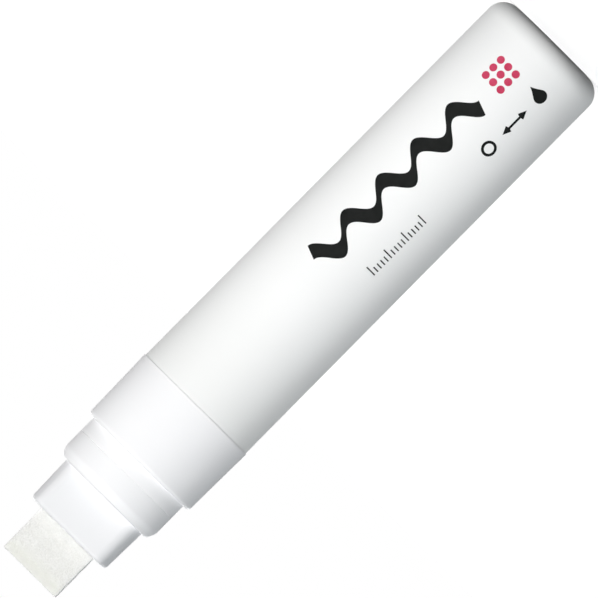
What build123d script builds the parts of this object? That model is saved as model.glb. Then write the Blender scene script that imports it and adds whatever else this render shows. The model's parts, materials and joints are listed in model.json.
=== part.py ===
from build123d import *

import math
import os

# Liquid chalk marker with a broad felt nib and a spring valve that opens when the nib is pressed in.
# It stands on its flat rear end with the nib up. The origin is the centre of the rear end, +Z runs
# towards the nib, and the nib's broad faces look along Y. Lengths are millimetres, angles degrees.

# Fits and cuts that several pieces share
push_fit = 0.05  # radial gap between pieces that are pushed together for good
running_fit = 0.1  # radial gap between pieces that slide along each other
overrun = 1.0  # how far a cut runs past the face that it opens
seam_bevel = 0.1  # bevel on each side of the parting line between stub and ring
match = 0.001  # how closely an edge has to lie where it is looked for
bead_crest_share = 0.4  # flat top of a snap bead, as a share of its width

# Barrel: the ink tank, with a neck that the collar snaps onto
barrel_diameter = 29.0
barrel_length = 104.8  # rear end to the shoulder that the collar meets
barrel_wall = 2.2
base_thickness = 2.4
base_edge_radius = 4.2
base_inner_radius = 2.0
foot_width = 2.3  # flat ring that the marker stands on
foot_height = 0.5  # depth of the shallow hollow inside the foot
gate_diameter = 2.4  # moulding gate mark in that hollow
gate_height = 0.2
neck_wall = 1.1
neck_bead_height = 0.3
neck_bead_width = 1.6
neck_bead_rise = 4.0  # shoulder to the middle of the bead

# Collar: front shell over the neck, with a stub that the cap slides over
collar_length = 16.75  # shoulder to the ledge that the cap stops against
collar_step = 0.2  # how far its rear edge stands out from the barrel
collar_taper = 0.3  # how much its radius shrinks towards the front
collar_front_radius = 1.0
collar_front_wall = 2.8
stub_length = 3.5
stub_wall = 2.0

# Nib: bar of pressed felt
nib_width = 15.0
nib_thickness = 5.0
nib_exposed = 11.3
nib_clearance = 0.2
nib_tip_length = 2.7  # stretch at the tip where the broad faces close in
nib_tip_bevel = 0.6

# Nib carrier: shoe under the nib, which slides in the nose's chamber
carrier_plate = 1.5
carrier_rim_height = 2.0
carrier_rim_wall = 0.8
carrier_hole_diameter = 3.0  # ink passage on each side of the nib
chamber_room = 1.15  # from the ends of the carrier's rim to the chamber's wall
chamber_gap = 0.3  # between the carrier's plate and that wall

# Nib holder: ring and nose that the nib comes out of, with a spigot in the stub
ring_length = 6.6
ring_chamfer_length = 2.0
ring_chamfer_height = 1.0
ring_roof = 1.8  # wall between the chamber and the front of the ring
holder_length = 10.55
holder_diameter = 21.8  # at its root
holder_flats = 12.6  # across the two flats, at its root
holder_flat_radius = 2.8  # rounding where a flat meets the round sides
holder_draft = 1.5
holder_front_radius = 1.0
spigot_wall = 1.45
spigot_bead_height = 0.25
spigot_bead_width = 1.2
spigot_bead_drop = 3.0  # ring's rear face to the middle of the bead
vent_width = 1.2  # air groove at each narrow side of the nib's slot
vent_depth = 0.6

# Foam round the nib
foam_gap = 0.3  # between the foam and the carrier's rim
brush_gap = 0.2  # between the foam and the nib

# Valve housing and its gaskets
gasket_thickness = 1.0
flange_thickness = 1.5
plug_length = 4.0  # ring that locates the housing in the barrel's mouth
plug_wall = 1.5
hub_length = 2.5  # flange to the valve seat at the hub's rear end
hub_wall = 1.6
skirt_wall = 1.3
clip_length = 3.0  # how far the skirt reaches past the plug, into the cage
valve_stroke = 2.5
stroke_spare = 0.4  # left between carrier and flange at the end of the stroke

# Valve stem, seal and spring
stem_diameter = 6.6  # across the fins
fin_thickness = 1.3
peg_diameter = 3.4  # peg that snaps into the carrier
peg_end_gap = 0.1
head_diameter = 11.2
head_thickness = 1.5
flow_gap = 1.2  # between the valve head and the skirt round it
tail_diameter = 4.6
tail_length = 3.0
seal_thickness = 1.0
seal_margin = 0.3  # how far the head reaches past the seal
spring_wire = 0.7
spring_mean_diameter = 7.2
spring_turns = 7
spring_end_gap = 0.5  # between the wires of the closed turn at each end
spring_seat_gap = 0.05
quarters = 4  # arcs are fitted over quarter turns

# Spring cage behind the housing
cage_length = 16.0
cage_wall = 1.2
cage_floor = 1.5
window_width = 5.0
window_margin = 1.5  # wall kept above the floor and below the skirt
drain_diameter = 2.0
drain_count = 4

# Mixing ball
ball_diameter = 9.5
ball_gap = 0.1

# Radii of the barrel and what goes round or into it
barrel_radius = barrel_diameter / 2
bore_radius = barrel_radius - barrel_wall
neck_radius = bore_radius + neck_wall
collar_rear = barrel_radius + collar_step
collar_front = collar_rear - collar_taper
plug_radius = bore_radius - push_fit

# Radii of the nose, from the nib outwards
rim_width = nib_width + 2 * (push_fit + carrier_rim_wall)
rim_depth = nib_thickness + 2 * (push_fit + carrier_rim_wall)
chamber_radius = rim_width / 2 + chamber_room
carrier_radius = chamber_radius - chamber_gap
spigot_radius = chamber_radius + spigot_wall
stub_bore = spigot_radius + push_fit
cap_seat_radius = stub_bore + stub_wall

# Radii of the valve, from the stem outwards
seat_radius = stem_diameter / 2 + running_fit
skirt_bore = head_diameter / 2 + flow_gap
skirt_radius = skirt_bore + skirt_wall
cage_bore = skirt_radius + push_fit
cage_radius = cage_bore + cage_wall
wire_radius = spring_wire / 2
coil_radius = spring_mean_diameter / 2
ball_radius = ball_diameter / 2

# Heights above the rear end
shoulder_z = barrel_length
neck_bead_z = shoulder_z + neck_bead_rise
ledge_z = shoulder_z + collar_length
clamp_z = ledge_z - collar_front_wall
flange_z = clamp_z - flange_thickness
neck_top_z = flange_z - gasket_thickness
plug_z = flange_z - plug_length
skirt_z = plug_z - clip_length
seat_z = flange_z - hub_length
head_front_z = seat_z - seal_thickness
head_rear_z = head_front_z - head_thickness
cage_z = plug_z - cage_length
cage_floor_z = cage_z + cage_floor
spigot_z = clamp_z + gasket_thickness
carrier_z = clamp_z + stroke_spare + valve_stroke
nib_rear_z = carrier_z + carrier_plate
carrier_rim_z = nib_rear_z + carrier_rim_height
ring_z = ledge_z + stub_length
spigot_bead_z = ring_z - spigot_bead_drop
ring_front_z = ring_z + ring_length
roof_z = ring_front_z - ring_roof
holder_front_z = ring_front_z + holder_length
nib_tip_z = holder_front_z + nib_exposed


def rod(radius, low, high):
    """A round bar on the marker's axis between two heights."""
    return Pos(0, 0, low) * Cylinder(radius, high - low, align=(Align.CENTER, Align.CENTER, Align.MIN))


def tube(outer, inner, low, high):
    """A round sleeve on the marker's axis between two heights."""
    return rod(outer, low, high) - rod(inner, low - overrun, high + overrun)


def block(width, depth, low, high):
    """A rectangular bar on the marker's axis between two heights."""
    return Pos(0, 0, low) * Box(width, depth, high - low, align=(Align.CENTER, Align.CENTER, Align.MIN))


def turned(*outline):
    """A solid turned about the marker's axis from (radius, height) points."""
    points = [(radius, 0, height) for radius, height in outline]
    return revolve(make_face(Polyline(*points, close=True)), Axis.Z)


def rim(solid, radius, height):
    """The round edges of a solid that have this radius and lie at this height."""
    edges = solid.edges().filter_by(GeomType.CIRCLE)
    edges = [edge for edge in edges if math.isclose(edge.radius, radius, abs_tol=match)]
    return [edge for edge in edges if math.isclose(edge.arc_center.Z, height, abs_tol=match)]


def bead(radius, height, width, middle):
    """A snap bead with sloping flanks, rooted in the spigot that it runs round."""
    crest = width * bead_crest_share
    return turned(
        (radius - height, middle - width / 2),
        (radius, middle - width / 2),
        (radius + height, middle - crest / 2),
        (radius + height, middle + crest / 2),
        (radius, middle + width / 2),
        (radius - height, middle + width / 2),
    )


def bead_groove(radius, height, width, middle):
    """The groove that such a bead snaps into, a push fit larger."""
    return bead(radius, height + push_fit, width + 2 * push_fit, middle)


def barrel():
    """Tank with a rounded rear end on a narrow foot, and the neck that the collar snaps onto."""
    shell = rod(barrel_radius, 0, shoulder_z)
    shell = fillet(rim(shell, barrel_radius, 0), base_edge_radius)
    shell += rod(neck_radius, shoulder_z, neck_top_z)
    shell += bead(neck_radius, neck_bead_height, neck_bead_width, neck_bead_z)
    ink = rod(bore_radius, base_thickness, neck_top_z + overrun)
    ink = fillet(rim(ink, bore_radius, base_thickness), base_inner_radius)
    hollow_radius = barrel_radius - base_edge_radius - foot_width
    hollow = rod(hollow_radius, -overrun, foot_height)
    hollow -= rod(gate_diameter / 2, foot_height - gate_height, foot_height + overrun)
    return shell - ink - hollow


def collar():
    """Front shell: a skirt over the neck, a ledge for the cap and a stub for the nose piece."""
    skirt = turned(
        (0, shoulder_z),
        (collar_rear, shoulder_z),
        (collar_front, ledge_z),
        (0, ledge_z),
    )
    skirt = fillet(rim(skirt, collar_front, ledge_z), collar_front_radius)
    stub = turned(
        (0, clamp_z),
        (cap_seat_radius, clamp_z),
        (cap_seat_radius, ring_z - seam_bevel),
        (cap_seat_radius - seam_bevel, ring_z),
        (0, ring_z),
    )
    shell = skirt + stub - rod(stub_bore, clamp_z, ring_z + overrun)
    shell -= rod(neck_radius + push_fit, shoulder_z - overrun, clamp_z)
    shell -= bead_groove(neck_radius, neck_bead_height, neck_bead_width, neck_bead_z)
    return shell - bead_groove(spigot_radius, spigot_bead_height, spigot_bead_width, spigot_bead_z)


def holder_nose():
    """Drafted round bar with two flats along the nib's broad faces and a rounded front edge."""
    section = Circle(holder_diameter / 2) & Rectangle(holder_diameter, holder_flats)
    section = fillet(section.vertices(), holder_flat_radius)
    nose = Pos(0, 0, ring_front_z) * extrude(section, holder_length, taper=holder_draft)
    return fillet(nose.faces().sort_by(Axis.Z)[-1].edges(), holder_front_radius)


def nib_holder():
    """Nose piece: spigot with its snap bead, ring with a chamfered front, and the slotted nose."""
    body = turned(
        (0, spigot_z),
        (spigot_radius, spigot_z),
        (spigot_radius, ring_z),
        (cap_seat_radius - seam_bevel, ring_z),
        (cap_seat_radius, ring_z + seam_bevel),
        (cap_seat_radius, ring_front_z - ring_chamfer_length),
        (cap_seat_radius - ring_chamfer_height, ring_front_z),
        (0, ring_front_z),
    )
    body += bead(spigot_radius, spigot_bead_height, spigot_bead_width, spigot_bead_z)
    body += holder_nose()
    slot_width = nib_width + 2 * nib_clearance
    slot_depth = nib_thickness + 2 * nib_clearance
    vents_width = slot_width + 2 * vent_depth
    body -= rod(chamber_radius, spigot_z - overrun, roof_z)
    body -= block(slot_width, slot_depth, roof_z - overrun, holder_front_z + overrun)
    return body - block(vents_width, vent_width, roof_z - overrun, holder_front_z + overrun)


def nib():
    """Felt bar whose broad faces close in a little towards the writing edge."""
    half = nib_thickness / 2
    side = [
        (0, -half, nib_rear_z),
        (0, half, nib_rear_z),
        (0, half, nib_tip_z - nib_tip_length),
        (0, half - nib_tip_bevel, nib_tip_z),
        (0, nib_tip_bevel - half, nib_tip_z),
        (0, -half, nib_tip_z - nib_tip_length),
    ]
    profile = make_face(Polyline(*side, close=True))
    return extrude(profile, nib_width / 2, dir=(1, 0, 0), both=True)


def ink_wad():
    """Foam ring that fills the front of the chamber and lets the nib through."""
    low = carrier_rim_z + foam_gap
    hole_width = nib_width + 2 * brush_gap
    hole_depth = nib_thickness + 2 * brush_gap
    ring = rod(chamber_radius - push_fit, low, roof_z)
    return ring - block(hole_width, hole_depth, low - overrun, roof_z + overrun)


def nib_carrier():
    """Round plate with a shallow socket for the nib, a hole for the stem's peg and ink passages."""
    shoe = rod(carrier_radius, carrier_z, nib_rear_z)
    shoe += block(rim_width, rim_depth, nib_rear_z, carrier_rim_z)
    socket_width = nib_width + 2 * push_fit
    socket_depth = nib_thickness + 2 * push_fit
    shoe -= block(socket_width, socket_depth, nib_rear_z, carrier_rim_z + overrun)
    shoe -= rod(peg_diameter / 2 + push_fit, carrier_z - overrun, nib_rear_z + overrun)
    passage = rod(carrier_hole_diameter / 2, carrier_z - overrun, nib_rear_z + overrun)
    passage_y = (carrier_radius + rim_depth / 2) / 2
    for side in (-1, 1):
        shoe -= Pos(0, side * passage_y, 0) * passage
    return shoe


def valve_housing():
    """Flanged disc on the barrel's mouth, with a locating plug, the valve's hub and the cage's skirt."""
    disc = rod(neck_radius, flange_z, clamp_z)
    disc += tube(plug_radius, plug_radius - plug_wall, plug_z, flange_z)
    disc += rod(seat_radius + hub_wall, seat_z, flange_z)
    disc += tube(skirt_radius, skirt_bore, skirt_z, flange_z)
    return disc - rod(seat_radius, seat_z - overrun, clamp_z + overrun)


def valve_stem():
    """Crossed fins that run in the hub, the valve head behind them and a tail that centres the spring."""
    fins = block(stem_diameter, fin_thickness, head_front_z, carrier_z)
    fins += block(fin_thickness, stem_diameter, head_front_z, carrier_z)
    stem = fins & rod(stem_diameter / 2, head_front_z, carrier_z)
    stem += rod(peg_diameter / 2, head_front_z, nib_rear_z - peg_end_gap)
    stem += rod(head_diameter / 2, head_rear_z, head_front_z)
    return stem + rod(tail_diameter / 2, head_rear_z - tail_length, head_rear_z)


def valve_seal():
    """Rubber washer on the valve head, pressed against the seat when the valve is shut."""
    return tube(head_diameter / 2 - seal_margin, stem_diameter / 2 + push_fit, head_front_z, seat_z)


def tank_gasket():
    """Rubber ring between the barrel's mouth and the housing's flange."""
    return tube(neck_radius, bore_radius, neck_top_z, flange_z)


def holder_gasket():
    """Rubber ring between the housing's flange and the nose piece's spigot."""
    return tube(spigot_radius, chamber_radius, clamp_z, spigot_z)


def spring_cage():
    """Cup clipped over the housing's skirt, with windows and drain holes for the ink."""
    cage = tube(cage_radius, cage_bore, cage_z, plug_z) + rod(cage_radius, cage_z, cage_floor_z)
    window_low = cage_floor_z + window_margin
    window_high = skirt_z - window_margin
    cage -= block(2 * cage_radius + overrun, window_width, window_low, window_high)
    cage -= block(window_width, 2 * cage_radius + overrun, window_low, window_high)
    drain = rod(drain_diameter / 2, cage_z - overrun, cage_floor_z + overrun)
    drain_reach = (cage_bore + coil_radius + wire_radius) / 2
    for place in PolarLocations(drain_reach, drain_count):
        cage -= place * drain
    return cage + rod(tail_diameter / 2, cage_floor_z, cage_floor_z + tail_length)


def spring_rise(turn):
    """Height of the wire's middle above the first coil, with one closed turn at each end."""
    closed = spring_wire + spring_end_gap
    height = head_rear_z - cage_floor_z - spring_wire - 2 * spring_seat_gap
    open_turns = spring_turns - 2
    pitch = (height - 2 * closed) / open_turns
    middle_turn = min(max(turn - 1, 0), open_turns)
    return closed * (turn - middle_turn) + pitch * middle_turn


def spring_point(turn):
    """Point of the wire's centre line after so many turns."""
    angle = 2 * math.pi * turn
    height = cage_floor_z + spring_seat_gap + wire_radius + spring_rise(turn)
    return Vector(coil_radius * math.cos(angle), coil_radius * math.sin(angle), height)


def spring_tangent(turn):
    """Direction of the wire there, averaged where the pitch changes."""
    step = 1 / (2 * quarters)
    climb = (spring_rise(turn + step) - spring_rise(turn - step)) / (2 * step)
    angle = 2 * math.pi * turn
    run = 2 * math.pi * coil_radius
    return Vector(-run * math.sin(angle), run * math.cos(angle), climb).normalized()


def biarc(start, start_tangent, end, end_tangent):
    """Two arcs that join two points with the given directions and meet smoothly between them."""
    chord = end - start
    both = start_tangent + end_tangent
    bend = 2 * (1 - start_tangent.dot(end_tangent))
    along = chord.dot(both)
    reach = (math.sqrt(along**2 + bend * chord.dot(chord)) - along) / bend
    corner_in = start + start_tangent * reach
    corner_out = end - end_tangent * reach
    joint = (corner_in + corner_out) / 2
    first = TangentArc(start, joint, tangent=start_tangent)
    second = TangentArc(joint, end, tangent=corner_out - corner_in)
    return [first, second]


def spring_self_gap():
    """Least gap between one coil and the next, measured on points of the centre line."""
    points_per_turn = 24
    points = [spring_point(i / points_per_turn) for i in range(spring_turns * points_per_turn + 1)]
    apart = points_per_turn // 2
    pairs = [(p, q) for i, p in enumerate(points) for q in points[i + apart :]]
    return min((p - q).length for p, q in pairs) - spring_wire


def valve_spring():
    """Compression spring with closed ends, as it stands between the cage's floor and the valve head."""
    arcs = []
    for i in range(spring_turns * quarters):
        low, high = i / quarters, (i + 1) / quarters
        arcs += biarc(spring_point(low), spring_tangent(low), spring_point(high), spring_tangent(high))
    section = Plane(origin=spring_point(0), z_dir=spring_tangent(0)) * Circle(wire_radius)
    return sweep(section, path=Wire(arcs))


def mixing_ball():
    """Steel ball that lies on the floor of the tank."""
    return Pos(0, 0, base_thickness + ball_gap + ball_radius) * Sphere(ball_radius)


pieces = [
    barrel,
    collar,
    nib_holder,
    nib,
    ink_wad,
    nib_carrier,
    valve_housing,
    valve_stem,
    valve_seal,
    valve_spring,
    spring_cage,
    tank_gasket,
    holder_gasket,
    mixing_ball,
]

os.makedirs("parts", exist_ok=True)
for make_piece in pieces:
    export_step(make_piece(), f"parts/{make_piece.__name__}.step")

ball_travel = cage_z - base_thickness - ball_diameter - 2 * ball_gap
print(f"nib tip at {nib_tip_z:.2f} mm, cap seat radius {cap_seat_radius:.2f} mm")
print(f"ball travel {ball_travel:.2f} mm, spring's fixed end at {cage_floor_z:.2f} mm")
print(f"least gap between spring coils: {spring_self_gap():.2f} mm")
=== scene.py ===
import json
import math

import bmesh
import bpy
from mathutils import Matrix, Vector, noise


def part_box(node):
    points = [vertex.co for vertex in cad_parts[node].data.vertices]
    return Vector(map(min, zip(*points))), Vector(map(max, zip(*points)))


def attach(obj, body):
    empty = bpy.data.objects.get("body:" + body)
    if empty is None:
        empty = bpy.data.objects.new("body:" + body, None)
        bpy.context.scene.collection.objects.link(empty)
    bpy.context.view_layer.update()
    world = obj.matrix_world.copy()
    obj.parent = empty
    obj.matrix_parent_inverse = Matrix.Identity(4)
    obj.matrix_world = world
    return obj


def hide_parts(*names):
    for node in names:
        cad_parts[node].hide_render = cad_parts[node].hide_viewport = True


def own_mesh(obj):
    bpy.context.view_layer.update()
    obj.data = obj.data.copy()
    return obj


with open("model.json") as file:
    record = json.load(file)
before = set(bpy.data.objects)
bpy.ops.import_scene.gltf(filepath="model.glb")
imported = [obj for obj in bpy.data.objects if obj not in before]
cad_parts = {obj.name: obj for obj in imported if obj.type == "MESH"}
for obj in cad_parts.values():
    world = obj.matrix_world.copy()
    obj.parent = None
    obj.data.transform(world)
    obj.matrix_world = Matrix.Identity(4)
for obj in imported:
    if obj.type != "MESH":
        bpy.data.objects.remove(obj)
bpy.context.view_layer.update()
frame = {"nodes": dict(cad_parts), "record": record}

# The marker stands on its rear end with the nib up. Lengths are in metres, and MM turns millimetres
# into them.
MM = 0.001

# Places that come from the frame
mounts = {mount["name"]: mount for mount in frame["record"]["mounts"]}
barrel_radius = mounts["barrel_grip"]["dims"]["r_mm"] * MM
seam_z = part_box("collar")[0].z  # where the collar meets the barrel
nose_front_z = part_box("nib_holder")[1].z
holder_length = 10.55 * MM
ring_front_z = nose_front_z - holder_length  # where the holder's flats meet the ring
nib_low, nib_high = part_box("nib")

# Camera: almost square on to the nib's broad face, turned so that the nib points to the lower left
camera_azimuth = math.radians(-2)
camera_elevation = math.radians(0.3)
picture_turn = math.radians(135.3)
picture_width = 123.28 * MM
picture_middle_z = 74.37 * MM
picture_middle_x = 0.1 * MM
camera_distance = 5.0
camera_near = 0.05
camera_far = 240.0  # well beyond the floor's far edge
camera_sensor = 36.0  # millimetres, as the camera's own settings are

# Light
floor_radius = 60.0
floor_segments = 64
floor_grey = 0.8
floor_bounce_grey = 0.02  # what the floor throws back onto the marker
floor_glow = 0.55
sky_at_horizon = 1.27
sky_fade = 2.2  # how fast the sky dims with height; it is dark above a rise of 1 / sky_fade
lamp_elevation = math.radians(19)
lamp_softness = math.radians(30)
plain_light = (1, 1, 1)
cool_light = (0.88, 0.995, 1.06)
lamps = (
    # name, azimuth in degrees, what it adds to a white face that looks straight at it, colour
    ("key_lamp", 30, 0.567, plain_light),
    ("front_lamp", -2, 0.397, plain_light),
    ("side_lamp", -80, 0.142, cool_light),
    ("back_lamp", 177, 0.7, plain_light),
)

sharp_edge = math.radians(40)  # edges that turn further than this aren't shaded as round

# Finishes
cloud_range = 0.3, 0.7  # part of a noise that is spread over a skin's two colours
pore_range = 0.35, 0.62  # part of a noise that is spread from pores to threads
thread_rise = 0.6
hairline_contrast = 6.0
rubbed_roughness = 0.06  # added where handling has rubbed the plastic
seam_painted_shade_reach = 30 * MM  # how far the barrel is painted greyer from the collar, as painted shade
rear_painted_shade_reach = 38 * MM  # and from its rear end, also painted shade
# softness of the edge of the painted shade on the holder
holder_painted_shade_edge = 0.1 * MM
tip_painted_shade_length = 1.2 * MM  # stretch at the tip that is painted darker and a little yellow-green, as painted shade of its closing faces
tip_painted_shade_fade = 3.2 * MM
tip_painted_shade_share = 0.75
# painted shade at the nib's root, next to the holder's front face
root_painted_shade_fade = 2.6 * MM
root_painted_shade_share = 0.5
felt_glow_depth = 1.5 * MM  # how far light gets into the felt
valve_glow_depth = 0.6 * MM
barrel_grain_depth = 0.004 * MM
nose_grain_depth = 0.003 * MM
felt_grain_depth = 0.05 * MM
foam_grain_depth = 0.1 * MM
valve_grain_depth = 0.003 * MM
rubber_grain_depth = 0.006 * MM
ink_grain_depth = 0.003 * MM
wire_roughness = 0.3
wire_line_depth = 0.004 * MM
ball_roughness = 0.12
ball_line_depth = 0.001 * MM
steel_spread = 0.25  # share of its roughness that the steel's sheen varies by

# Felt nib
felt_step = 0.26 * MM  # width of the mesh's squares
felt_rounding = 0.2 * MM
felt_sink = 0.036 * MM  # how far the matted surface lies inside the plain bar
felt_lump_size = 1.6 * MM
felt_lump_height = 0.025 * MM
felt_thread_size = 0.45 * MM
felt_thread_height = 0.032 * MM
felt_thread_stretch = 0.7  # below 1 the threads run along the nib
nib_tip_length = 2.7 * MM  # stretch at the tip where the broad faces close in
nib_tip_bevel = 0.6 * MM

# Nose piece
weld_reach = 0.001 * MM
flat_angle = math.radians(0.3)  # faces that turn less than this are one face
bevel_turn = math.radians(20)  # the least turn of an edge that is softened
bevel_steps = 4
bevel_profile = 0.5  # a round one
ring_bevel_zone = 3.0 * MM  # how far behind its front face the ring's edges are softened
ring_bevel_reach = 11.7 * MM  # the ring's outside lies further out than this
ring_softening = 0.5 * MM

# Foam in the nose
foam_voxel = 0.28 * MM
foam_pit = 0.22 * MM  # depth of a cell
foam_cell = 0.9 * MM
foam_pit_slope = 2.0  # how fast a cell gets shallower away from its middle

# Print on the barrel: arc lengths run from the front line towards -X, heights from the rear end
film_thickness = 0.03 * MM
film_step = 0.55 * MM  # the longest step of a film round the barrel
wave_arc = -2.6 * MM
wave_start = 20 * MM
wave_length = 46 * MM
half_waves = 9
half_wave_steps = 14
wave_swing = 2.1 * MM
wave_nib = 3.3 * MM  # width of the nib that the wave is drawn with
wave_nib_angle = math.radians(20)
scale_arc = 8.4 * MM
scale_start = 45 * MM
scale_pitch = 1 * MM
scale_strokes = 16
scale_group = 5  # every fifth stroke is long
long_stroke = 2.6 * MM
short_stroke = 1.5 * MM
stroke_width = 0.28 * MM
sign_arc = 6.6 * MM  # the line that the small signs stand on
drop_height = 10 * MM
drop_radius = 1.5 * MM
drop_point = 1.6 * MM
drop_pinch = 0.85  # how far a drop narrows towards its point
arrow_height = 17.5 * MM
arrow_length = 7 * MM
arrow_head = 1.9 * MM
arrow_line = 0.5 * MM
arrow_tip = 0.1 * MM
arrow_steps = 40  # along the arrow
arrow_rows = 4  # across it
hoop_height = 25 * MM
hoop_inner = 1.1 * MM
hoop_outer = 1.7 * MM
hoop_steps = 40  # round the hoop
hoop_rows = 3  # across its line
spots_height = 12.5 * MM  # middle of the red spots
spots_pitch = 2.2 * MM
spot_radius = 0.85 * MM
spot_steps = 14


def add_node(tree, kind, inputs=None, **settings):
    """Adds a node; settings are its properties, inputs its sockets' values or what feeds them."""
    made = tree.nodes.new(kind)
    for name, value in settings.items():
        setattr(made, name, value)
    for name, value in (inputs or {}).items():
        if isinstance(value, bpy.types.NodeSocket):
            tree.links.new(value, made.inputs[name])
        else:
            made.inputs[name].default_value = value
    return made


def calculate(tree, operation, *terms, clamp=False):
    """The result of a sum with one or two terms, each a number or a socket."""
    made = tree.nodes.new("ShaderNodeMath")
    made.operation = operation
    made.use_clamp = clamp
    for socket, term in zip(made.inputs, terms):
        if isinstance(term, bpy.types.NodeSocket):
            tree.links.new(term, socket)
        else:
            socket.default_value = term
    return made.outputs[0]


def blend_colours(tree, share, first, second):
    """A colour between two colours; share is a socket that runs from 0 to 1."""
    made = tree.nodes.new("ShaderNodeMix")
    made.data_type = "RGBA"
    tree.links.new(share, made.inputs["Factor"])
    for socket, colour in ((made.inputs[6], first), (made.inputs[7], second)):
        if isinstance(colour, bpy.types.NodeSocket):
            tree.links.new(colour, socket)
        else:
            socket.default_value = (*colour, 1)
    return made.outputs[2]


def stretch(tree, value, low, high):
    """Spreads the middle of a noise, from low to high, over 0 to 1."""
    made = add_node(tree, "ShaderNodeMapRange", {"Value": value, "From Min": low, "From Max": high})
    return made.outputs[0]


def add_smooth_step(tree, off):
    """1 where off is 0, easing to 0 where it is 1."""
    made = add_node(
        tree,
        "ShaderNodeMapRange",
        {"Value": off, "To Min": 1.0, "To Max": 0.0},
        interpolation_type="SMOOTHSTEP",
    )
    return made.outputs[0]


def new_effect(name, inputs, outputs):
    """A node group with named sockets; returns the group and its input and output nodes."""
    tree = bpy.data.node_groups.new(name, "ShaderNodeTree")
    for socket_name, value in inputs.items():
        kind = "NodeSocketFloat" if isinstance(value, (int, float)) else "NodeSocketColor"
        socket = tree.interface.new_socket(socket_name, in_out="INPUT", socket_type=kind)
        socket.default_value = value if kind == "NodeSocketFloat" else (*value, 1)
    for socket_name, kind in outputs.items():
        tree.interface.new_socket(socket_name, in_out="OUTPUT", socket_type=kind)
    return tree, tree.nodes.new("NodeGroupInput"), tree.nodes.new("NodeGroupOutput")


def moulded_skin_effect():
    """Skin of a moulded piece: soft clouds in the colour, a fine grain and an uneven sheen."""
    tree, given, result = new_effect(
        "moulded_skin",
        {
            "Colour": (0.8, 0.8, 0.8),
            "Cloud Colour": (0.7, 0.7, 0.7),
            "Clouds per Metre": 70.0,
            "Grain per Metre": 3500.0,
            "Roughness": 0.4,
            "Roughness Spread": 0.1,
        },
        {"Colour": "NodeSocketColor", "Roughness": "NodeSocketFloat", "Height": "NodeSocketFloat"},
    )
    place = add_node(tree, "ShaderNodeTexCoord").outputs["Object"]
    scale = given.outputs["Clouds per Metre"]
    clouds = add_node(tree, "ShaderNodeTexNoise", {"Vector": place, "Scale": scale, "Detail": 4.0})
    cloud_share = stretch(tree, clouds.outputs[0], *cloud_range)
    scale = given.outputs["Grain per Metre"]
    grain = add_node(tree, "ShaderNodeTexNoise", {"Vector": place, "Scale": scale, "Detail": 2.0})
    colour = blend_colours(tree, cloud_share, given.outputs["Colour"], given.outputs["Cloud Colour"])
    uneven = calculate(tree, "ADD", cloud_share, grain.outputs[0])
    uneven = calculate(tree, "SUBTRACT", uneven, 1.0)  # so that it swings about 0
    uneven = calculate(tree, "MULTIPLY", uneven, given.outputs["Roughness Spread"])
    roughness = calculate(tree, "ADD", given.outputs["Roughness"], uneven)
    tree.links.new(colour, result.inputs["Colour"])
    tree.links.new(roughness, result.inputs["Roughness"])
    tree.links.new(grain.outputs[0], result.inputs["Height"])
    return tree


def hairline_effect():
    """Fine marks that run along the piece, as from handling or from drawing wire."""
    tree, given, result = new_effect(
        "hairlines",
        {"Lines per Metre": 2500.0, "Length Ratio": 0.03, "Threshold": 0.6},
        {"Mask": "NodeSocketFloat"},
    )
    place = add_node(tree, "ShaderNodeTexCoord").outputs["Object"]
    split = add_node(tree, "ShaderNodeSeparateXYZ", {"Vector": place})
    along = calculate(tree, "MULTIPLY", split.outputs["Z"], given.outputs["Length Ratio"])
    drawn_out = add_node(
        tree,
        "ShaderNodeCombineXYZ",
        {"X": split.outputs["X"], "Y": split.outputs["Y"], "Z": along},
    )
    scale = given.outputs["Lines per Metre"]
    lines = add_node(
        tree,
        "ShaderNodeTexNoise",
        {"Vector": drawn_out.outputs[0], "Scale": scale, "Detail": 1.0},
    )
    over = calculate(tree, "SUBTRACT", lines.outputs[0], given.outputs["Threshold"])
    mask = calculate(tree, "MULTIPLY", over, hairline_contrast, clamp=True)
    tree.links.new(mask, result.inputs["Mask"])
    return tree


def band_effect():
    """A band round the axis: 1 within a half width of a height, fading to 0 beyond it."""
    tree, given, result = new_effect(
        "band",
        {"Height": 0.0, "Half Width": 0.0, "Fade": 0.01},
        {"Mask": "NodeSocketFloat"},
    )
    place = add_node(tree, "ShaderNodeTexCoord").outputs["Object"]
    split = add_node(tree, "ShaderNodeSeparateXYZ", {"Vector": place})
    off = calculate(tree, "SUBTRACT", split.outputs["Z"], given.outputs["Height"])
    off = calculate(tree, "SUBTRACT", calculate(tree, "ABSOLUTE", off), given.outputs["Half Width"])
    off = calculate(tree, "DIVIDE", off, given.outputs["Fade"], clamp=True)
    tree.links.new(add_smooth_step(tree, off), result.inputs["Mask"])
    return tree


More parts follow.
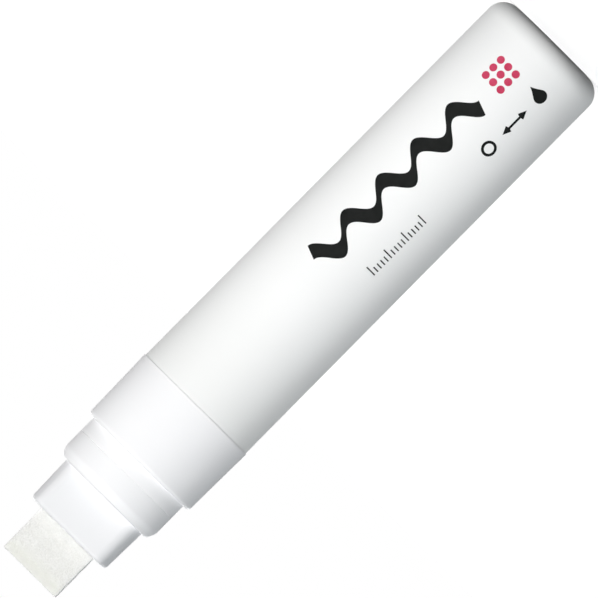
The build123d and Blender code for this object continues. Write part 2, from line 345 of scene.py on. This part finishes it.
def fibre_mat_effect():
    """Matted fibres: a tangle of threads with pores between them, the pores darker as painted shade.
    """
    tree, given, result = new_effect(
        "fibre_mat",
        {"Colour": (0.8, 0.8, 0.78), "Pore Colour": (0.6, 0.6, 0.56), "Threads per Metre": 1500.0},
        {"Colour": "NodeSocketColor", "Height": "NodeSocketFloat"},
    )
    place = add_node(tree, "ShaderNodeTexCoord").outputs["Object"]
    scale = given.outputs["Threads per Metre"]
    tangle = add_node(
        tree,
        "ShaderNodeTexNoise",
        {"Vector": place, "Scale": scale, "Detail": 5.0, "Roughness": 0.7, "Distortion": 1.5},
    )
    threads = add_node(
        tree,
        "ShaderNodeTexVoronoi",
        {"Vector": place, "Scale": scale},
        feature="DISTANCE_TO_EDGE",
    )
    pores = stretch(tree, tangle.outputs[0], *pore_range)
    raised = calculate(tree, "MULTIPLY", threads.outputs["Distance"], thread_rise)
    fluff = calculate(tree, "ADD", pores, raised)
    # painted shade: the lower pores darker than the threads
    colour = blend_colours(tree, pores, given.outputs["Pore Colour"], given.outputs["Colour"])
    tree.links.new(colour, result.inputs["Colour"])
    tree.links.new(fluff, result.inputs["Height"])
    return tree


moulded_skin = moulded_skin_effect()
hairlines = hairline_effect()
band = band_effect()
fibre_mat = fibre_mat_effect()


def place_effect(tree, effect, **inputs):
    """Puts an effect into a material; spaces in its sockets' names are written as underscores."""
    made = tree.nodes.new("ShaderNodeGroup")
    made.node_tree = effect
    for name, value in inputs.items():
        socket = made.inputs[name.replace("_", " ")]
        socket.default_value = (*value, 1) if isinstance(value, tuple) else value
    return made


def new_finish(name, **constants):
    """A material with its principled shader; constants are the values that are the same all over."""
    material = bpy.data.materials.new(name)
    material.use_nodes = True
    shader = material.node_tree.nodes["Principled BSDF"]
    for socket, value in constants.items():
        shader.inputs[socket.replace("_", " ")].default_value = value
    return material, material.node_tree, shader


def emboss(tree, shader, height, depth):
    """Feeds a height to the shader's normal, with its depth in metres."""
    bump = add_node(tree, "ShaderNodeBump", {"Height": height, "Distance": depth, "Strength": 1.0})
    tree.links.new(bump.outputs["Normal"], shader.inputs["Normal"])


def barrel_plastic():
    """Satin white of the tank, with painted shade that greys it a little towards the collar and the
    rear end.
    """
    material, tree, shader = new_finish("barrel_plastic", IOR=1.32)
    skin = place_effect(
        tree,
        moulded_skin,
        Colour=(0.915, 0.92, 0.915),
        Cloud_Colour=(0.9, 0.907, 0.901),
        Clouds_per_Metre=55.0,
        Grain_per_Metre=2600.0,
        Roughness=0.52,
        Roughness_Spread=0.08,
    )
    seam = place_effect(tree, band, Height=seam_z, Fade=seam_painted_shade_reach)
    rear = place_effect(tree, band, Height=0.0, Fade=rear_painted_shade_reach)
    marks = place_effect(tree, hairlines, Lines_per_Metre=1900.0, Length_Ratio=0.05, Threshold=0.62)
    # painted shade: the barrel greyer towards the collar
    shade = blend_colours(tree, seam.outputs["Mask"], skin.outputs["Colour"], (0.868, 0.876, 0.866))
    # painted shade: the barrel greyer towards its rear end
    shade = blend_colours(tree, rear.outputs["Mask"], shade, (0.85, 0.857, 0.853))
    tree.links.new(shade, shader.inputs["Base Color"])
    rubbed = calculate(tree, "MULTIPLY", marks.outputs["Mask"], rubbed_roughness)
    roughness = calculate(tree, "ADD", skin.outputs["Roughness"], rubbed)
    tree.links.new(roughness, shader.inputs["Roughness"])
    emboss(tree, shader, skin.outputs["Height"], barrel_grain_depth)
    return material


def nose_plastic():
    """Cooler white of the collar and the nose piece, finer in grain, with painted shade that greys the
    holder.
    """
    material, tree, shader = new_finish("nose_plastic", IOR=1.25)
    skin = place_effect(
        tree,
        moulded_skin,
        Colour=(0.918, 0.92, 0.929),
        Cloud_Colour=(0.906, 0.908, 0.917),
        Clouds_per_Metre=90.0,
        Grain_per_Metre=3200.0,
        Roughness=0.66,
        Roughness_Spread=0.08,
    )
    marks = place_effect(tree, hairlines, Lines_per_Metre=2300.0, Length_Ratio=0.06, Threshold=0.63)
    middle = (ring_front_z + nose_front_z) / 2
    half = (nose_front_z - ring_front_z) / 2
    holder = place_effect(tree, band, Height=middle, Half_Width=half, Fade=holder_painted_shade_edge)
    # painted shade: the holder greyer than the ring and the collar
    shade = blend_colours(tree, holder.outputs["Mask"], skin.outputs["Colour"], (0.815, 0.82, 0.832))
    tree.links.new(shade, shader.inputs["Base Color"])
    rubbed = calculate(tree, "MULTIPLY", marks.outputs["Mask"], rubbed_roughness)
    roughness = calculate(tree, "ADD", skin.outputs["Roughness"], rubbed)
    tree.links.new(roughness, shader.inputs["Roughness"])
    emboss(tree, shader, skin.outputs["Height"], nose_grain_depth)
    return material


def pressed_felt():
    """Off-white felt, with painted shade that makes the tip greyer and a little yellow-green and the
    root a little greyer.
    """
    material, tree, shader = new_finish(
        "pressed_felt",
        Roughness=0.95,
        Specular_IOR_Level=0.2,
        Sheen_Weight=0.3,
        Sheen_Roughness=0.4,
        Subsurface_Weight=0.9,
        Subsurface_Radius=(1, 1, 1),
        Subsurface_Scale=felt_glow_depth,
    )
    mat = place_effect(
        tree,
        fibre_mat,
        Colour=(0.895, 0.895, 0.872),
        Pore_Colour=(0.8, 0.8, 0.774),
        Threads_per_Metre=1400.0,
    )
    tip = place_effect(tree, band, Height=nib_high.z, Half_Width=tip_painted_shade_length, Fade=tip_painted_shade_fade)
    root = place_effect(tree, band, Height=nose_front_z, Fade=root_painted_shade_fade)
    # painted shade: the tip greyer and a little yellow-green
    tip_painted_shade = calculate(tree, "MULTIPLY", tip.outputs["Mask"], tip_painted_shade_share)
    colour = blend_colours(tree, tip_painted_shade, mat.outputs["Colour"], (0.79, 0.795, 0.745))
    # painted shade: the root of the nib a little greyer
    even = calculate(tree, "MULTIPLY", root.outputs["Mask"], root_painted_shade_share)
    colour = blend_colours(tree, even, colour, (0.855, 0.86, 0.84))
    tree.links.new(colour, shader.inputs["Base Color"])
    emboss(tree, shader, mat.outputs["Height"], felt_grain_depth)
    return material


def open_foam():
    """Creamy foam with open cells."""
    material, tree, shader = new_finish("open_foam", Roughness=0.9)
    mat = place_effect(
        tree,
        fibre_mat,
        Colour=(0.86, 0.85, 0.8),
        Pore_Colour=(0.6, 0.58, 0.52),
        Threads_per_Metre=1100.0,
    )
    tree.links.new(mat.outputs["Colour"], shader.inputs["Base Color"])
    emboss(tree, shader, mat.outputs["Height"], foam_grain_depth)
    return material


def valve_plastic():
    """Natural plastic of the valve's pieces, milky and slightly see-through."""
    material, tree, shader = new_finish(
        "valve_plastic",
        IOR=1.5,
        Subsurface_Weight=0.15,
        Subsurface_Scale=valve_glow_depth,
    )
    skin = place_effect(
        tree,
        moulded_skin,
        Colour=(0.84, 0.85, 0.85),
        Cloud_Colour=(0.78, 0.8, 0.8),
        Clouds_per_Metre=160.0,
        Grain_per_Metre=4000.0,
        Roughness=0.35,
        Roughness_Spread=0.1,
    )
    tree.links.new(skin.outputs["Colour"], shader.inputs["Base Color"])
    tree.links.new(skin.outputs["Roughness"], shader.inputs["Roughness"])
    emboss(tree, shader, skin.outputs["Height"], valve_grain_depth)
    return material


def gasket_rubber():
    """Matt black rubber with a faint bloom."""
    material, tree, shader = new_finish("gasket_rubber", IOR=1.5)
    skin = place_effect(
        tree,
        moulded_skin,
        Colour=(0.035, 0.035, 0.038),
        Cloud_Colour=(0.07, 0.07, 0.072),
        Clouds_per_Metre=300.0,
        Grain_per_Metre=5000.0,
        Roughness=0.7,
        Roughness_Spread=0.15,
    )
    tree.links.new(skin.outputs["Colour"], shader.inputs["Base Color"])
    tree.links.new(skin.outputs["Roughness"], shader.inputs["Roughness"])
    emboss(tree, shader, skin.outputs["Height"], rubber_grain_depth)
    return material


def bare_steel(name, roughness, line_depth):
    """Bright steel with hairlines: drawn for the spring's wire, nearly polished for the ball."""
    material, tree, shader = new_finish(name, Metallic=1.0)
    skin = place_effect(
        tree,
        moulded_skin,
        Colour=(0.66, 0.66, 0.67),
        Cloud_Colour=(0.56, 0.56, 0.57),
        Clouds_per_Metre=400.0,
        Grain_per_Metre=6000.0,
        Roughness=roughness,
        Roughness_Spread=roughness * steel_spread,
    )
    marks = place_effect(tree, hairlines, Lines_per_Metre=6000.0, Length_Ratio=0.1, Threshold=0.55)
    tree.links.new(skin.outputs["Colour"], shader.inputs["Base Color"])
    tree.links.new(skin.outputs["Roughness"], shader.inputs["Roughness"])
    emboss(tree, shader, marks.outputs["Mask"], line_depth)
    return material


def print_ink(name, colour, thin_colour):
    """Screen-printed ink, thinner in places."""
    material, tree, shader = new_finish(name, Specular_IOR_Level=0.05)
    skin = place_effect(
        tree,
        moulded_skin,
        Colour=colour,
        Cloud_Colour=thin_colour,
        Clouds_per_Metre=500.0,
        Grain_per_Metre=5000.0,
        Roughness=0.45,
        Roughness_Spread=0.12,
    )
    tree.links.new(skin.outputs["Colour"], shader.inputs["Base Color"])
    tree.links.new(skin.outputs["Roughness"], shader.inputs["Roughness"])
    emboss(tree, shader, skin.outputs["Height"], ink_grain_depth)
    return material


def new_piece(name, mesh, material, body):
    """Puts a finished mesh into the scene as a smooth piece that moves with a body."""
    piece = bpy.data.objects.new(name, mesh)
    bpy.context.scene.collection.objects.link(piece)
    mesh.materials.clear()
    mesh.materials.append(material)
    mesh.shade_smooth()
    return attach(piece, body)


def lattice_shell(counts):
    """The quads on the outside of a block of counts cells; each corner lies at its lattice place."""
    shell = bmesh.new()
    corners = {}

    def corner(place):
        if place not in corners:
            corners[place] = shell.verts.new(place)
        return corners[place]

    for axis in range(3):
        across, up = (axis + 1) % 3, (axis + 2) % 3
        for side in (0, counts[axis]):
            for i in range(counts[across]):
                for j in range(counts[up]):
                    loop = []
                    for di, dj in ((0, 0), (1, 0), (1, 1), (0, 1)):
                        place = [0, 0, 0]
                        place[axis], place[across], place[up] = side, i + di, j + dj
                        loop.append(corner(tuple(place)))
                    shell.faces.new(loop if side else loop[::-1])
    return shell


def felt_nib(material):
    """The felt bar: softly rounded edges, faces that close in at the tip and a matted surface."""
    size = nib_high - nib_low
    counts = [round(length / felt_step) for length in size]
    shell = lattice_shell(counts)
    inner_low = nib_low + Vector((felt_rounding,) * 3)
    inner_high = nib_high - Vector((felt_rounding,) * 3)
    middle_y = (nib_low.y + nib_high.y) / 2
    half_y = size.y / 2
    for vertex in shell.verts:
        share = [place / count for place, count in zip(vertex.co, counts)]
        point = Vector([low + length * part for low, length, part in zip(nib_low, size, share)])
        core = Vector([min(max(p, low), high) for p, low, high in zip(point, inner_low, inner_high)])
        outward = (point - core).normalized()
        closing = max(0.0, 1 - (nib_high.z - point.z) / nib_tip_length)
        lumps = felt_lump_height * noise.noise(point / felt_lump_size)
        drawn_out = Vector((point.x, point.y, point.z * felt_thread_stretch))
        threads = felt_thread_height * noise.noise(drawn_out / felt_thread_size)
        matting = lumps + threads - felt_sink
        point = core + outward * (felt_rounding + matting)
        squeeze = 1 - closing * nib_tip_bevel / half_y
        point.y = middle_y + (point.y - middle_y) * squeeze
        vertex.co = point
    mesh = bpy.data.meshes.new("felt_nib")
    shell.to_mesh(mesh)
    shell.free()
    piece = new_piece("felt_nib", mesh, material, "nib_plunger")
    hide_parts("nib")
    return piece


def foam_wad(material):
    """The foam ring, with open cells eaten into its surface."""
    mesh = frame["nodes"]["ink_wad"].data.copy()
    rough = bpy.data.objects.new("foam_rough", mesh)
    bpy.context.scene.collection.objects.link(rough)
    remesh = rough.modifiers.new("cells", "REMESH")
    remesh.mode = "VOXEL"
    remesh.voxel_size = foam_voxel
    shown = rough.evaluated_get(bpy.context.evaluated_depsgraph_get())
    mesh = bpy.data.meshes.new_from_object(shown)
    bpy.data.objects.remove(rough)
    normals = [vertex.normal.copy() for vertex in mesh.vertices]
    for vertex, normal in zip(mesh.vertices, normals):
        cells = noise.voronoi(vertex.co / foam_cell)[0][0]
        vertex.co -= normal * foam_pit * max(0.0, 1 - foam_pit_slope * cells)
    mesh.name = "foam_wad"
    piece = new_piece("foam_wad", mesh, material, "marker_body")
    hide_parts("ink_wad")
    return piece


def nose_piece(material):
    """The nose piece, its ring's bevel softened where it meets the ring and the front face."""
    shell = bmesh.new()
    shell.from_mesh(frame["nodes"]["nib_holder"].data)
    bmesh.ops.remove_doubles(shell, verts=shell.verts, dist=weld_reach)
    divided = []
    rounded = []
    for edge in shell.edges:
        low, high = sorted(vertex.co.z for vertex in edge.verts)
        nearest = min(math.hypot(vertex.co.x, vertex.co.y) for vertex in edge.verts)
        turn = edge.calc_face_angle()
        on_front = low > ring_front_z - weld_reach and high < ring_front_z + weld_reach
        on_ring = nearest > ring_bevel_reach and high < ring_front_z + weld_reach
        if turn < flat_angle and (on_front or on_ring):
            divided.append(edge)
        if turn > bevel_turn and on_ring and low > ring_front_z - ring_bevel_zone:
            rounded.append(edge)
    bmesh.ops.dissolve_edges(shell, edges=divided)
    bmesh.ops.bevel(
        shell,
        geom=rounded,
        offset=ring_softening,
        offset_type="OFFSET",
        segments=bevel_steps,
        profile=bevel_profile,
        affect="EDGES",
        clamp_overlap=True,
    )
    mesh = bpy.data.meshes.new("nose_piece")
    shell.to_mesh(mesh)
    shell.free()
    piece = new_piece("nose_piece", mesh, material, "marker_body")
    mesh.set_sharp_from_angle(angle=sharp_edge)
    even = piece.modifiers.new("even_normals", "WEIGHTED_NORMAL")
    even.keep_sharp = True
    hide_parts("nib_holder")
    return piece


def coil_spring(material):
    """The valve's spring, which shortens in its cage as the nib is pressed in; the piece here keeps
    its length.
    """
    mesh = frame["nodes"]["valve_spring"].data.copy()
    mesh.name = "coil_spring"
    piece = new_piece("coil_spring", mesh, material, "marker_body")
    mesh.set_sharp_from_angle(angle=sharp_edge)
    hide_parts("valve_spring")
    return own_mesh(piece)


def on_barrel(arc, height, lift):
    """The point at an arc length and a height, lifted off the barrel."""
    radius = barrel_radius + lift
    angle = arc / barrel_radius
    return Vector((-radius * math.sin(angle), -radius * math.cos(angle), height))


def add_film(shell, outline, rows, columns, closed=False):
    """A closed film of ink; outline gives (arc, height) for shares along and across the shape."""
    loops = []
    for lift in (0, film_thickness):
        grid = []
        for i in range(rows if closed else rows + 1):
            shares = [(i / rows, j / columns) for j in range(columns + 1)]
            grid.append([shell.verts.new(on_barrel(*outline(*share), lift)) for share in shares])
        loops.append(grid)
    low, high = loops
    count = len(low)
    for i in range(rows):
        after = (i + 1) % count
        for j in range(columns):
            shell.faces.new((high[i][j], high[i][j + 1], high[after][j + 1], high[after][j]))
            shell.faces.new((low[i][j], low[after][j], low[after][j + 1], low[i][j + 1]))
        shell.faces.new((low[i][0], high[i][0], high[after][0], low[after][0]))
        shell.faces.new((low[i][-1], low[after][-1], high[after][-1], high[i][-1]))
    if not closed:
        for j in range(columns):
            shell.faces.new((low[0][j], low[0][j + 1], high[0][j + 1], high[0][j]))
            shell.faces.new((low[-1][j], high[-1][j], high[-1][j + 1], low[-1][j + 1]))


def steps_for(length):
    """How many steps a film takes along a length, so that it bends with the barrel."""
    return max(2, math.ceil(length / film_step))


def stroke(shell, arc, height, length):
    """A short straight stroke round the barrel."""

    def outline(along, across):
        return arc - length * along, height + stroke_width * (across - 0.5)

    add_film(shell, outline, steps_for(length), 1)


def pen_wave(shell, arc, height, length):
    """A wave drawn with a broad nib that is held at one angle, so that it swells and thins."""

    def outline(along, across):
        swing = wave_swing * math.cos(math.pi * half_waves * along)
        nib = wave_nib * (across - 0.5)
        sweep = height + length * along + nib * math.sin(wave_nib_angle)
        return arc + swing + nib * math.cos(wave_nib_angle), sweep

    add_film(shell, outline, half_wave_steps * half_waves, steps_for(wave_nib))


def hoop(shell, arc, height, inner, outer):
    """A round line."""

    def outline(along, across):
        angle = 2 * math.pi * along
        radius = inner + (outer - inner) * across
        return arc + radius * math.cos(angle), height + radius * math.sin(angle)

    add_film(shell, outline, hoop_steps, hoop_rows, closed=True)


def round_spot(shell, arc, height, radius, point=0.0):
    """A round spot; with a point it becomes a drop whose point lies that far above its edge."""

    def outline(along, across):
        x, y = 2 * along - 1, 2 * across - 1
        x, y = x * math.sqrt(1 - y * y / 2), y * math.sqrt(1 - x * x / 2)
        upward = max(0.0, -x) ** 3 if point else 0.0
        return arc + radius * x - point * upward, height + radius * y * (1 - drop_pinch * upward)

    add_film(shell, outline, spot_steps, spot_steps)


def double_arrow(shell, arc, height, length):
    """A line with an arrow head at each end, along the barrel."""

    def outline(along, across):
        reach = length * abs(along - 0.5)
        into_head = reach - (length / 2 - arrow_head)
        wide = max(arrow_tip, arrow_head - into_head) if into_head > 0 else arrow_line
        return arc + wide * (across - 0.5), height + length * (along - 0.5)

    add_film(shell, outline, arrow_steps, arrow_rows)


def finish_print(name, shell, material):
    """Turns the films into one piece on the barrel."""
    bmesh.ops.recalc_face_normals(shell, faces=shell.faces)
    mesh = bpy.data.meshes.new(name)
    shell.to_mesh(mesh)
    shell.free()
    piece = new_piece(name, mesh, material, "marker_body")
    mesh.set_sharp_from_angle(angle=sharp_edge)
    return piece


def black_print(material):
    """A broad-nib wave, a scale as long as the nib is wide and three small signs."""
    shell = bmesh.new()
    pen_wave(shell, wave_arc, wave_start, wave_length)
    for i in range(scale_strokes):
        length = short_stroke if i % scale_group else long_stroke
        stroke(shell, scale_arc, scale_start + i * scale_pitch, length)
    round_spot(shell, sign_arc, drop_height, drop_radius, drop_point)
    double_arrow(shell, sign_arc, arrow_height, arrow_length)
    hoop(shell, sign_arc, hoop_height, hoop_inner, hoop_outer)
    return finish_print("print_black", shell, material)


def red_print(material):
    """Nine red spots in a square, at the end of the wave."""
    shell = bmesh.new()
    for row in (-1, 0, 1):
        for column in (-1, 0, 1):
            place = wave_arc + spots_pitch * row, spots_height + spots_pitch * column
            round_spot(shell, *place, spot_radius)
    return finish_print("print_red", shell, material)


def dress_nodes(finishes):
    """Gives each CAD node the finish of its own material slot."""
    for subpart in frame["record"]["subparts"]:
        mesh = frame["nodes"][subpart["node"]].data
        mesh.materials.clear()
        mesh.materials.append(finishes[subpart["material_slot"]])


def view_direction(azimuth, elevation):
    """The unit vector from the marker towards a camera or lamp."""
    flat = math.cos(elevation)
    return Vector((math.sin(azimuth) * flat, -math.cos(azimuth) * flat, math.sin(elevation)))


def add_camera():
    """A far camera with a long lens, turned about its own line of sight."""
    data = bpy.data.cameras.new("camera")
    data.sensor_width = camera_sensor
    data.lens = camera_sensor * camera_distance / picture_width
    data.clip_start = camera_near
    data.clip_end = camera_far
    camera = bpy.data.objects.new("camera", data)
    bpy.context.scene.collection.objects.link(camera)
    back = view_direction(camera_azimuth, camera_elevation)
    level = Vector((0, 0, 1)).cross(back).normalized()
    upright = back.cross(level)
    cos, sin = math.cos(picture_turn), math.sin(picture_turn)
    right = level * cos - upright * sin
    up = level * sin + upright * cos
    turn = Matrix((right, up, back)).transposed().to_4x4()
    aim = Vector((picture_middle_x, 0, picture_middle_z))
    camera.matrix_world = Matrix.Translation(aim + back * camera_distance) @ turn
    bpy.context.scene.camera = camera


def add_lamp(name, azimuth, share, colour):
    """A far, soft lamp; share is what it adds to a white face that looks straight at it."""
    data = bpy.data.lights.new(name, "SUN")
    data.energy = share * math.pi
    data.angle = lamp_softness
    data.color = colour
    lamp = bpy.data.objects.new(name, data)
    bpy.context.scene.collection.objects.link(lamp)
    towards = view_direction(math.radians(azimuth), lamp_elevation)
    lamp.rotation_mode = "QUATERNION"
    lamp.rotation_quaternion = towards.to_track_quat("Z", "Y")


def seen_directly(tree):
    """1 for what the camera sees directly or in a reflection, 0 for light that falls on things."""
    path = tree.nodes.new("ShaderNodeLightPath")
    seen = calculate(tree, "MAXIMUM", path.outputs["Is Camera Ray"], path.outputs["Is Glossy Ray"])
    return calculate(tree, "MAXIMUM", seen, path.outputs["Is Transmission Ray"])


def add_floor():
    """A wide pale floor, white to the camera, that keeps the marker's shadow."""
    shell = bmesh.new()
    bmesh.ops.create_circle(shell, cap_ends=True, radius=floor_radius, segments=floor_segments)
    mesh = bpy.data.meshes.new("floor")
    shell.to_mesh(mesh)
    shell.free()
    floor = bpy.data.objects.new("floor", mesh)
    bpy.context.scene.collection.objects.link(floor)
    material = bpy.data.materials.new("floor")
    material.use_nodes = True
    tree = material.node_tree
    tree.nodes.clear()
    seen = seen_directly(tree)
    extra = calculate(tree, "MULTIPLY", seen, floor_grey - floor_bounce_grey)
    grey = calculate(tree, "ADD", extra, floor_bounce_grey)
    matt = add_node(tree, "ShaderNodeBsdfDiffuse", {"Color": grey})
    strength = calculate(tree, "MULTIPLY", seen, floor_glow)
    glow = add_node(tree, "ShaderNodeEmission", {"Strength": strength})
    both = tree.nodes.new("ShaderNodeAddShader")
    tree.links.new(matt.outputs[0], both.inputs[0])
    tree.links.new(glow.outputs[0], both.inputs[1])
    result = tree.nodes.new("ShaderNodeOutputMaterial")
    tree.links.new(both.outputs[0], result.inputs["Surface"])
    mesh.materials.append(material)


def add_sky():
    """A soft surround that lights from low down and dims overhead; white where it is seen directly."""
    world = bpy.data.worlds.new("surround")
    world.use_nodes = True
    tree = world.node_tree
    direction = add_node(tree, "ShaderNodeTexCoord").outputs["Generated"]
    up = add_node(tree, "ShaderNodeSeparateXYZ", {"Vector": direction}).outputs["Z"]
    fading = calculate(tree, "SUBTRACT", 1.0, calculate(tree, "MULTIPLY", up, sky_fade), clamp=True)
    lit = calculate(tree, "MULTIPLY", fading, sky_at_horizon)
    seen = seen_directly(tree)
    lit = calculate(tree, "MULTIPLY", lit, calculate(tree, "SUBTRACT", 1.0, seen))
    strength = calculate(tree, "ADD", lit, seen)
    background = tree.nodes["Background"]
    background.inputs["Color"].default_value = (1, 1, 1, 1)
    tree.links.new(strength, background.inputs["Strength"])
    bpy.context.scene.world = world


finishes = {
    "barrel_plastic": barrel_plastic(),
    "nose_plastic": nose_plastic(),
    "felt": pressed_felt(),
    "foam": open_foam(),
    "valve_plastic": valve_plastic(),
    "rubber": gasket_rubber(),
    "spring_steel": bare_steel("spring_steel", wire_roughness, wire_line_depth),
    "ball_steel": bare_steel("ball_steel", ball_roughness, ball_line_depth),
}
dress_nodes(finishes)
felt_nib(finishes["felt"])
nose_piece(finishes["nose_plastic"])
foam_wad(finishes["foam"])
coil_spring(finishes["spring_steel"])
black_print(print_ink("black_ink", (0.007, 0.008, 0.0075), (0.012, 0.013, 0.0125)))
red_print(print_ink("red_ink", (0.52, 0.04, 0.1), (0.6, 0.07, 0.14)))

add_camera()
for lamp in lamps:
    add_lamp(*lamp)
add_sky()
add_floor()

scene = bpy.context.scene
scene.view_settings.view_transform = "Standard"
